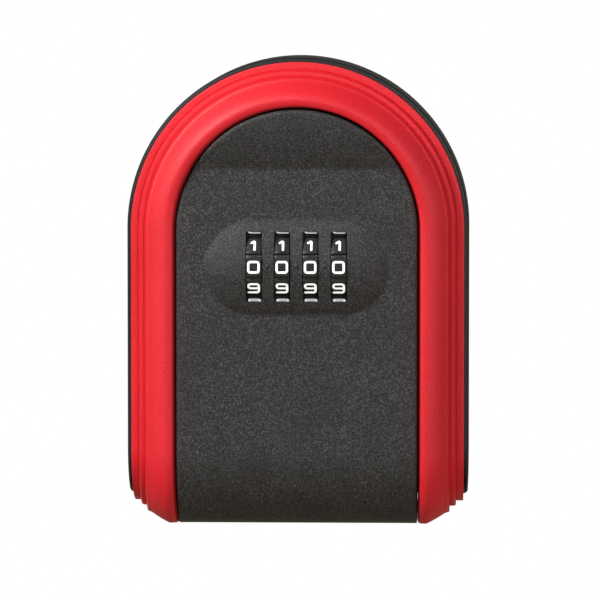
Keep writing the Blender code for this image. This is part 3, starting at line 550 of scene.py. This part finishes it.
def rear_shell():
    """A deep tray with soft edges, its rim swept back at the foot, with posts and hinge knuckles."""
    bm = bmesh.new()
    wall, depth = SHELL_WALL, SHELL_DEPTH
    # inset from the outline, depth, and whether it follows the foot's sweep
    steps = [
        (1.0, 0.0, 0), (0.3, 0.3, 0), (0.0, 1.0, 0), (0.0, depth - 1.0, 1), (0.1, depth - 0.5, 1),
        (0.38, depth - 0.14, 1), (0.8, depth, 1), (wall - 0.3, depth, 1), (wall, depth - 0.3, 1),
        (wall, SHELL_BACK + 0.8, 0), (wall + 0.25, SHELL_BACK + 0.25, 0), (wall + 0.8, SHELL_BACK, 0),
    ]
    rings = []
    for inset, f, swept in steps:
        bottom = SHELL_BOTTOM + inset
        half = half_outline(SHELL_HALF_WIDTH - inset, bottom, corner=SHELL_CORNER)
        rings.append(outline_ring(bm, half, lambda x, z: f - swept * drop(z, bottom)))
    loft(bm, rings)
    ladder(bm, rings[0])
    ladder(bm, rings[-1])
    shell = piece("rear_shell_skin", bm, CASE_BLACK)
    wide = OPENING_HALF_WIDTH
    carve(shell, boxes([((-wide, wide), (LIP_FRONT, depth + 1), (SHELL_BOTTOM - 1, FOOT_START))]))

    additions = bmesh.new()
    for name, (radius, length), count in (
        ("frame_screw", FRAME_PAD, 4), ("keeper_screw", KEEPER_POST, 2), ("hook_screw", HOOK_PAD, 1),
    ):
        for i in range(count):
            x, _, z = centre_of(f"{name}_{i + 1}")
            add_turned(additions, at(x, POST_START, z), FORWARD, rounded_rod(radius, length))
    carve(shell, additions, "UNION")
    web = (HINGE_F - HINGE_WEB, HINGE_F + HINGE_WEB), (HINGE_Z, SHELL_BOTTOM + 1.0)
    carve(shell, knuckles(CASE_KNUCKLE, *web), "UNION")

    holes = bmesh.new()
    for i in (1, 2, 3, 4):
        x, _, z = centre_of(f"frame_screw_{i}")
        shoulder = BEHIND + SEAT_DEPTH
        seat = [(SEAT_RADIUS, 0), (SEAT_RADIUS, shoulder), (SEAT_HOLE, shoulder), (SEAT_HOLE, 7)]
        add_turned(holes, at(x, -BEHIND, z), FORWARD, seat)
    sunk = BEHIND + WALL_SEAT_DEPTH
    hole = [(WALL_HOLE, 0), (WALL_HOLE, sunk), (WALL_SEAT, BEHIND + SHELL_BACK + 0.02)]
    for x in (-WALL_HOLES_X, WALL_HOLES_X):
        for z in (-WALL_HOLES_Z, WALL_HOLES_Z):
            add_turned(holes, at(x, -BEHIND, z - ARCH_HEIGHT), FORWARD, hole)
    carve(shell, holes)
    carve(shell, pin_hole())
    finish_piece(shell, "case", "black_plastic", "rear_shell")


def pin_hole():
    """A rod through all the knuckles, to cut the pin's hole with."""
    bm = bmesh.new()
    start = at(-PIN_REACH, HINGE_F, HINGE_Z)
    add_turned(bm, start, RIGHTWARD, [(PIN_HOLE, 0), (PIN_HOLE, 2 * PIN_REACH)])
    return bm


def knuckles(span, web_fs, web_zs):
    """A pair of hinge knuckles with webs that join them to their piece, as one bmesh."""
    bm = bmesh.new()
    webs = []
    for low, high in (span, (-span[1], -span[0])):
        start = at(low, HINGE_F, HINGE_Z)
        add_turned(bm, start, RIGHTWARD, rounded_rod(KNUCKLE_RADIUS, high - low, KNUCKLE_EDGE))
        webs.append(((low + WEB_INSET, high - WEB_INSET), web_fs, web_zs))
    rods = piece("knuckles", bm, CASE_BLACK)
    carve(rods, boxes(webs), "UNION")
    joined = bmesh.new()
    joined.from_mesh(rods.data)
    bpy.data.objects.remove(rods)
    return joined


def finish_piece(obj, body, slot, *nodes):
    """Places a finished piece on its body, in place of its CAD nodes."""
    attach(obj, body)
    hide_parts(*nodes)


def frame_profile():
    """The red frame's section from its outer edge to its opening, as (half-width, f, bottom, rise)."""
    points = [(FRAME_HALF_WIDTH, FRAME_BACK, STEP_BOTTOMS[0], 0.0)]
    for i, (edge, tread, bottom) in enumerate(zip(STEP_EDGES, TREADS, STEP_BOTTOMS)):
        for angle in range(0, 91, 30):
            turn = math.radians(angle)
            width = edge - STEP_ROUND * (1 - math.cos(turn))
            points.append((width, tread - STEP_ROUND * (1 - math.sin(turn)), bottom, 0.0))
        if i < len(STEP_FEET):
            foot = STEP_FEET[i]
            points.append((foot + STEP_GROOVE, tread, bottom, 0.0))
            points.append((foot + STEP_GROOVE / 3, tread - STEP_GROOVE, bottom, 0.0))
            points.append((foot, tread - STEP_GROOVE / 2, STEP_BOTTOMS[i + 1], 0.0))
    start = (STEP_EDGES[-1] - 2 * STEP_ROUND, TREADS[-1] + 0.1)
    crest = (CREST_HALF_WIDTH, CREST_FRONT)
    for i in range(1, CREST_STEPS + 1):
        t = i / CREST_STEPS
        width, front = (
            (1 - t) ** 2 * a + 2 * t * (1 - t) * b + t * t * c
            for a, b, c in zip(start, CREST_PULL, crest)
        )
        points.append((width, front, mix(STEP_BOTTOMS[-1], FRONT_BOTTOM, t), CREST_RISE * ease(t)))
    for angle in range(15, 91, 15):
        turn = math.radians(angle)
        width = mix(CREST_HALF_WIDTH, OPENING_HALF_WIDTH + LEDGE_WIDTH, math.sin(turn))
        points.append((width, CREST_FRONT - CREST_ROUND * (1 - math.cos(turn)), FRONT_BOTTOM, CREST_RISE))
    for width in (OPENING_HALF_WIDTH + LEDGE_WIDTH, OPENING_HALF_WIDTH):
        points.append((width, CREST_FRONT - LEDGE_DEPTH, FRONT_BOTTOM, 0.0))
    points.append((OPENING_HALF_WIDTH - OPENING_TAPER, TREADS[0], FRONT_BOTTOM, 0.0))
    return points


def red_frame():
    """One closed band over the arch, stepped on its outside. Each point of its profile has its bottom."""
    bm = bmesh.new()
    profile = frame_profile()
    halves = [half_outline(width, bottom, leg_rows=LEG_ROWS) for width, _, bottom, _ in profile]
    rear_halves = [half_outline(width, FRAME_HEEL, leg_rows=LEG_ROWS) for width, _, _, _ in profile]
    stations = len(halves[0])
    rings = []
    for side, station in [(1, i) for i in range(stations)] + [(-1, i) for i in reversed(range(stations))]:
        front, back = [], []
        for (width, f, bottom, rise), half, rear in zip(profile, halves, rear_halves):
            x, z = half[station]
            lift = rise * ease(z / width)
            front.append(bm.verts.new(at(side * x, f - drop(z, bottom) + lift, z)))
            x, z = rear[station]
            back.append(bm.verts.new(at(side * x, REAR_FACE - drop(z, FRAME_HEEL), z)))
        rings.append(front + back[::-1])
    loft(bm, rings)
    count = len(profile)
    for ring in (rings[0], rings[-1]):
        for i in range(count - 1):
            bm.faces.new((ring[i], ring[i + 1], ring[-2 - i], ring[-1 - i]))
    for i in (1, 2, 3, 4):
        x, _, z = centre_of(f"frame_screw_{i}")
        add_turned(bm, at(x, FRAME_POST_START, z), FORWARD, rounded_rod(*FRAME_POST))
    skin = piece("red_frame_skin", bm, RED, 38)
    finish_piece(skin, "case", "red_plastic", "red_frame")


# the door


def bump_height(x, z):
    """The raised oval round the windows: a low dome with a soft foot."""
    straight = BUMP_HALF_LENGTH - BUMP_HALF_HEIGHT
    share = math.hypot(max(abs(x) - straight, 0.0), z - BUMP_Z) / BUMP_HALF_HEIGHT
    if share >= 1:
        return 0.0
    return BUMP_RAISE * (1 - share**BUMP_SHAPE) * ease(8 * (1 - share))


def panel_depth(x, z):
    """How far forward the door's face comes: the brow at its top, the bump, and the swept foot."""
    rise = min(max((z - BROW_START) / (DOOR_HALF_WIDTH - BROW_START), 0.0), 1.0)
    brow = BROW * (1 - (1 - rise) ** 2)
    return DOOR_FRONT + brow + bump_height(x, z) - drop(z, FRONT_BOTTOM)


def door_panel():
    """A skin with the bump, brow and swept chin, and walls that go back round the lock."""
    bm = bmesh.new()
    rows = [FOOT_START + 4 * i for i in range(1, 8)] + [-24 + 0.5 * i for i in range(48)]
    edge = DOOR_EDGE
    rings = []

    def ring(inset, depth):
        half = half_outline(DOOR_HALF_WIDTH - inset, FRONT_BOTTOM + inset, leg_rows=rows)
        rings.append(outline_ring(bm, half, depth))

    ring(0.0, lambda x, z: DOOR_BACK - drop(z, FRONT_BOTTOM))
    for i in range(7):
        turn = math.radians(15 * i)
        sunk = edge * (1 - math.sin(turn))
        ring(edge * (1 - math.cos(turn)), lambda x, z: panel_depth(x, z) - sunk)
    loft(bm, rings)
    ladder(bm, rings[-1], panel_depth, DOOR_COLUMNS)
    back = rings[0]
    rings = [back]
    wall = DOOR_WALL
    ring(wall, lambda x, z: DOOR_BACK - drop(z, FRONT_BOTTOM))
    inner_bottom = FRONT_BOTTOM + wall
    ring(wall, lambda x, z: DOOR_INSIDE - DOOR_INNER_EDGE - drop(z, inner_bottom))
    ring(wall + DOOR_INNER_EDGE, lambda x, z: DOOR_INSIDE - drop(z, inner_bottom))
    loft(bm, rings)
    ladder(bm, rings[-1])
    panel = piece("door_panel_skin", bm, PANEL_BLACK)

    low, high = WHEEL_Z - WINDOW_HEIGHT / 2, WHEEL_Z + WINDOW_HEIGHT / 2
    half = WINDOW_WIDTH / 2
    through = (DOOR_INSIDE - 1, CLEAR_FRONT)
    carve(panel, boxes([((x - half, x + half), through, (low, high)) for x in WHEEL_PLACES]))
    pocket = (DOOR_INSIDE - 1, POCKET_FRONT), (low - POCKET_MARGIN, high + POCKET_MARGIN)
    carve(panel, boxes([(POCKET_X, *pocket)]))
    wide, back_f, front_f = TAB_OPENING
    height = (FRONT_BOTTOM - 1, FRONT_BOTTOM + TAB_OPENING_HEIGHT)
    carve(panel, boxes([((-wide, wide), (back_f, front_f), height)]))
    posts = bmesh.new()
    for name, start in (("lock_screw", LOCK_POST_START), ("cover_screw", COVER_POST_START)):
        for i in (1, 2, 3, 4):
            x, _, z = centre_of(f"{name}_{i}")
            post = rounded_rod(SCREW_POST_RADIUS, SCREW_POST_END - start)
            add_turned(posts, at(x, start, z), FORWARD, post, 24)
    carve(panel, posts, "UNION")
    arm = (HINGE_Z - KNUCKLE_RADIUS * 0.9, HINGE_Z + 0.5)
    carve(panel, knuckles(DOOR_KNUCKLE, (HINGE_F, ARM_FRONT), arm), "UNION")
    carve(panel, pin_hole())
    pips = bmesh.new()
    for left, right in zip(WHEEL_PLACES, WHEEL_PLACES[1:]):
        x = (left + right) / 2
        start = at(x, panel_depth(x, WHEEL_Z) - 0.6, WHEEL_Z + PIP_RAISE)
        dome = [(PIP_RADIUS, 0), (PIP_RADIUS, PIP_RADIUS), (0.5, 0.78), (0.25, 0.88)]
        add_turned(pips, start, FORWARD, dome, 20)
    carve(panel, pips, "UNION")
    finish_piece(panel, "door", "panel_black", "door_panel")


# the wheels


def wheel_radius(angle):
    """The wheel's rim: ten flats with a shallow groove between each two."""
    off = abs((angle + SECTOR / 2) % SECTOR - SECTOR / 2)
    groove = ease((math.degrees(off) - GROOVE_START) / GROOVE_SLOPE)
    return min(mix(WHEEL_FLAT / math.cos(off), WHEEL_GROOVE, groove), WHEEL_RADIUS)


def number_wheel(number, x):
    """A wheel with softened rims and a bore, and its ten raised digits as a second piece."""
    bm = bmesh.new()
    half = WHEEL_HALF_WIDTH
    left = [(-half, WHEEL_EDGE), (0.05 - half, 0.05), (WHEEL_EDGE - half, 0.0)]
    right = [(-along, inset) for along, inset in reversed(left)]
    rings = []
    for along, inset in [(-half, None), *left, *right, (half, None)]:
        ring = []
        for i in range(WHEEL_SEGMENTS):
            angle = 2 * math.pi * i / WHEEL_SEGMENTS
            radius = WHEEL_BORE if inset is None else wheel_radius(angle) - inset
            f = WHEEL_F + radius * math.cos(angle)
            z = WHEEL_Z + radius * math.sin(angle)
            ring.append(bm.verts.new(at(x + along, f, z)))
        rings.append(ring)
    loft(bm, [*rings, rings[0]])
    wheel = piece(f"wheel_{number}_rim", bm, WHEEL_BLACK, 28)
    finish_piece(wheel, f"wheel_{number}", "wheel_black", f"number_wheel_{number}")
    digits = bmesh.new()
    for digit, strokes in enumerate(digit_strokes()):
        for points, closed in strokes:
            add_stroke(digits, points, closed, x, digit * SECTOR)
    paint = piece(f"wheel_{number}_digits", digits, DIGIT_WHITE_GLOWING, 50)
    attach(paint, f"wheel_{number}")


def digit_strokes():
    """Each digit 0 to 9 as strokes on the corners of a box: (points, closed)."""
    right, top = DIGIT_WIDTH / 2, DIGIT_HEIGHT / 2
    tl, tr, ml, mr, bl, br = [(x, y) for y in (top, 0.0, -top) for x in (-right, right)]
    return [
        [([tl, tr, br, bl], True)],
        [([(-0.55, top - DIGIT_CORNER), (0.25, top), (0.25, -top)], False)],
        [([tl, tr, mr, ml, bl, br], False)],
        [([tl, tr, br, bl], False), ([(-0.5, 0.0), mr], False)],
        [([tl, ml, mr], False), ([tr, br], False)],
        [([tr, tl, ml, mr, br, bl], False)],
        [([tr, tl, bl, br, mr, ml], False)],
        [([tl, tr, br], False)],
        [([tl, tr, br, bl], True), ([ml, mr], False)],
        [([mr, ml, tl, tr, br, bl], False)],
    ]


def rounded(points, closed, steps=6):
    """A polyline with its corners turned into arcs."""
    out = []
    count = len(points)
    for i, point in enumerate(points):
        here = Vector(point)
        if not closed and i in (0, count - 1):
            out.append(here)
            continue
        before, after = Vector(points[i - 1]), Vector(points[(i + 1) % count])
        reach = min(DIGIT_CORNER, (here - before).length / 2, (here - after).length / 2)
        start = here + (before - here).normalized() * reach
        end = here + (after - here).normalized() * reach
        for k in range(steps + 1):
            t = k / steps
            out.append(start * (1 - t) ** 2 + here * 2 * t * (1 - t) + end * t * t)
    return out


def add_stroke(bm, points, closed, x, turn):
    """A flat raised stroke of paint along a line drawn on the wheel's flat at that turn."""
    line = rounded(points, closed)
    widths = [STROKE / 2] * len(line)
    if not closed:
        for end, inward in ((0, 1), (-1, -2)):
            along = (line[end] - line[inward]).normalized() * STROKE / 2
            caps = [
                (line[end] + along * math.sin(turned), STROKE / 2 * math.cos(turned))
                for turned in (0.6, 1.1, 1.45)
            ]
            if end == 0:
                line = [p for p, _ in reversed(caps)] + line
                widths = [w for _, w in reversed(caps)] + widths
            else:
                line = line + [p for p, _ in caps]
                widths = widths + [w for _, w in caps]
    left = [(-1.0, -0.1), (-1.0, 0.5), (-0.8, 1.0)]
    section = left + [(-side, up) for side, up in reversed(left)]
    rings = []
    for i, here in enumerate(line):
        before = line[i - 1] if closed or i else here
        after = line[(i + 1) % len(line)] if closed or i < len(line) - 1 else here
        along = (after - before).normalized()
        across = Vector((-along.y, along.x))
        ring = []
        for side, up in section:
            flat = here + across * side * widths[i]
            out = WHEEL_FLAT + up * STROKE_HEIGHT
            f = WHEEL_F + out * math.cos(turn) - flat.y * math.sin(turn)
            z = WHEEL_Z + out * math.sin(turn) + flat.y * math.cos(turn)
            ring.append(bm.verts.new(at(x + flat.x, f, z)))
        rings.append(ring)
    if closed:
        loft(bm, [*rings, rings[0]])
    else:
        loft(bm, rings)
        bm.faces.new(rings[0])
        bm.faces.new(rings[-1])


# screws and the pieces that keep their CAD shape


def screw(node, body, head_height):
    """A domed screw with a cross recess. The keeper's and the hook's heads face forward, the rest back."""
    low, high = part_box(node)
    x, _, z = centre_of(node)
    head = (high[0] - low[0]) / 2 / MM
    shank = head * SCREW_SHANK
    length = (high[1] - low[1]) / MM
    faces_front = node.startswith(("keeper", "hook"))
    top = (-low[1] if faces_front else -high[1]) / MM
    inward = Vector((0, 1 if faces_front else -1, 0))
    dome = [(0.6, 0.0), (0.86, 0.12), (0.97, 0.35), (1.0, 0.6), (1.0, 1.0)]
    profile = [(head * out, head_height * down) for out, down in dome]
    profile += [(shank, head_height), (shank, length - shank), (shank * 0.2, length)]
    bm = bmesh.new()
    add_turned(bm, at(x, top, z), inward, profile, 32)
    obj = piece(f"{node}_skin", bm, STEEL)
    long, wide, deep = head * RECESS_LENGTH, head * RECESS_WIDTH, head_height * RECESS_DEPTH
    for wide_x, wide_z in ((long, wide), (wide, long)):
        slot = (x - wide_x, x + wide_x), (top - deep, top + deep), (z - wide_z, z + wide_z)
        carve(obj, boxes([slot]))
    finish_piece(obj, body, "zinc_plated_steel", node)


def screws():
    """All the screws, over their CAD nodes."""
    for name, body, head_height, count in SCREWS:
        for i in range(count):
            screw(f"{name}_{i + 1}", body, head_height)


def coil_spring():
    """The reset spring as a wire coil of one length. The real spring is pressed towards its fixed end as
    the carriage slides; this coil keeps its shape.
    """
    low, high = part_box("reset_spring")
    _, f, z = centre_of("reset_spring")
    length = (high[0] - low[0]) / MM
    radius = (high[2] - low[2]) / 2 / MM - COIL_WIRE
    first, spread = low[0] / MM + COIL_WIRE, length - 2 * COIL_WIRE
    bm = bmesh.new()
    rings = []
    for i in range(COIL_TURNS * COIL_STEPS + 1):
        share = i / (COIL_TURNS * COIL_STEPS)
        turn = 2 * math.pi * i / COIL_STEPS
        ring = []
        for k in range(8):
            angle = 2 * math.pi * k / 8
            out = radius + COIL_WIRE * math.cos(angle)
            along = first + spread * share + COIL_WIRE * math.sin(angle)
            ring.append(bm.verts.new(at(along, f + out * math.cos(turn), z + out * math.sin(turn))))
        rings.append(ring)
    loft(bm, rings)
    bm.faces.new(rings[0])
    bm.faces.new(rings[-1])
    coil = piece("reset_spring_coil", bm, SPRING_STEEL)
    finish_piece(coil, "door", "spring_steel", "reset_spring")
    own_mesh(coil)


def paint_cad_nodes():
    """Gives every CAD node its slot's material, and softens the edges of the visible ones."""
    slots = {part["node"]: part["material_slot"] for part in frame["record"]["subparts"]}
    for node, obj in frame["nodes"].items():
        obj.data.materials.clear()
        obj.data.materials.append(MATERIALS[slots[node]])
    for node in SOFTENED:
        bevel = frame["nodes"][node].modifiers.new("soft_edges", "BEVEL")
        bevel.width = SOFT_EDGE * MM
        bevel.segments = 2
        bevel.limit_method = "ANGLE"
        bevel.angle_limit = math.radians(40)


# floor, light and camera

SKY_LIGHT = (0.15, 0.15, 0.15, 1.0)
GROUND_LIGHT = (0.3, 0.265, 0.2, 1.0)
HORIZON = 0.25  # half the height over which the ground's light turns into the sky's
FLOOR_HALF_WIDTH = 6.0
FLOOR_PLACE = (0, 2, -1.5)

CAMERA_AZIMUTH = 2.1
CAMERA_ELEVATION = 4.1
CAMERA_DISTANCE = 1.38
CAMERA_FIELD = 0.1519  # width of the picture at the wall, in metres
CAMERA_TARGET = (-0.00033, -0.00388, 0.0)  # in the camera's own axes
SENSOR = 36.0


def stage():
    """A pale floor far below, and a white world that lights the part less than it shows behind it."""
    bm = bmesh.new()
    place = Matrix.Translation(FLOOR_PLACE)
    bmesh.ops.create_grid(bm, x_segments=1, y_segments=1, size=FLOOR_HALF_WIDTH, matrix=place)
    s = Shader("floor", (0.9, 0.9, 0.9), 0.9)
    pale = s.shade(s.noise(60.0, 2.0), (0.88, 0.88, 0.88), (0.92, 0.92, 0.92))
    s.link(pale, "Base Color")
    s.link(pale, "Emission Color")
    s.set("Emission Strength", 1.0)
    floor = piece("floor", bm, s.material)
    floor.visible_diffuse = False
    floor.visible_glossy = False
    world = bpy.data.worlds.new("studio")
    bpy.context.scene.world = world
    world.use_nodes = True
    nodes, links = world.node_tree.nodes, world.node_tree.links
    height = nodes.new("ShaderNodeSeparateXYZ")
    links.new(nodes.new("ShaderNodeTexCoord").outputs["Generated"], height.inputs[0])
    blend = nodes.new("ShaderNodeMapRange")
    blend.inputs["From Min"].default_value = -HORIZON
    blend.inputs["From Max"].default_value = HORIZON
    links.new(height.outputs["Z"], blend.inputs["Value"])
    light = nodes.new("ShaderNodeMix")
    light.data_type = "RGBA"
    light.inputs["A"].default_value = GROUND_LIGHT
    light.inputs["B"].default_value = SKY_LIGHT
    links.new(blend.outputs["Result"], light.inputs["Factor"])
    shown = nodes.new("ShaderNodeMix")
    shown.data_type = "RGBA"
    shown.inputs["B"].default_value = (1.0, 1.0, 1.0, 1.0)
    links.new(light.outputs["Result"], shown.inputs["A"])
    links.new(nodes.new("ShaderNodeLightPath").outputs["Is Camera Ray"], shown.inputs["Factor"])
    links.new(shown.outputs["Result"], nodes["Background"].inputs["Color"])


def direction(azimuth, elevation):
    """A unit vector from the origin towards a place in front of the wall. Azimuth goes to the right."""
    turn, rise = math.radians(azimuth), math.radians(elevation)
    return Vector((math.sin(turn) * math.cos(rise), -math.cos(turn) * math.cos(rise), math.sin(rise)))


def softbox(name, azimuth, elevation, distance, size, power):
    """An area light that faces the origin."""
    light = bpy.data.lights.new(name, "AREA")
    light.shape = "RECTANGLE"
    light.size, light.size_y = size
    light.energy = power
    lamp = bpy.data.objects.new(name, light)
    bpy.context.scene.collection.objects.link(lamp)
    towards = direction(azimuth, elevation)
    lamp.location = towards * distance
    lamp.rotation_euler = towards.to_track_quat("Z", "Y").to_euler()


def camera():
    """A long lens a little to the right of the front and above it."""
    towards = direction(CAMERA_AZIMUTH, CAMERA_ELEVATION)
    data = bpy.data.cameras.new("camera")
    data.sensor_width = SENSOR
    data.lens = SENSOR * CAMERA_DISTANCE / CAMERA_FIELD
    data.clip_start = 0.05
    data.clip_end = 50
    obj = bpy.data.objects.new("camera", data)
    bpy.context.scene.collection.objects.link(obj)
    turn = towards.to_track_quat("Z", "Y")
    obj.location = turn @ Vector(CAMERA_TARGET) + towards * CAMERA_DISTANCE
    obj.rotation_euler = turn.to_euler()
    bpy.context.scene.camera = obj


bpy.context.scene.view_settings.view_transform = "Standard"
rear_shell()
red_frame()
door_panel()
for index, place in enumerate(WHEEL_PLACES):
    number_wheel(index + 1, place)
screws()
coil_spring()
paint_cad_nodes()
stage()
softbox("key", azimuth=-50, elevation=36, distance=0.9, size=(0.4, 0.4), power=9.0)
softbox("fill", azimuth=35, elevation=20, distance=1.2, size=(0.6, 0.8), power=4.8)
camera()
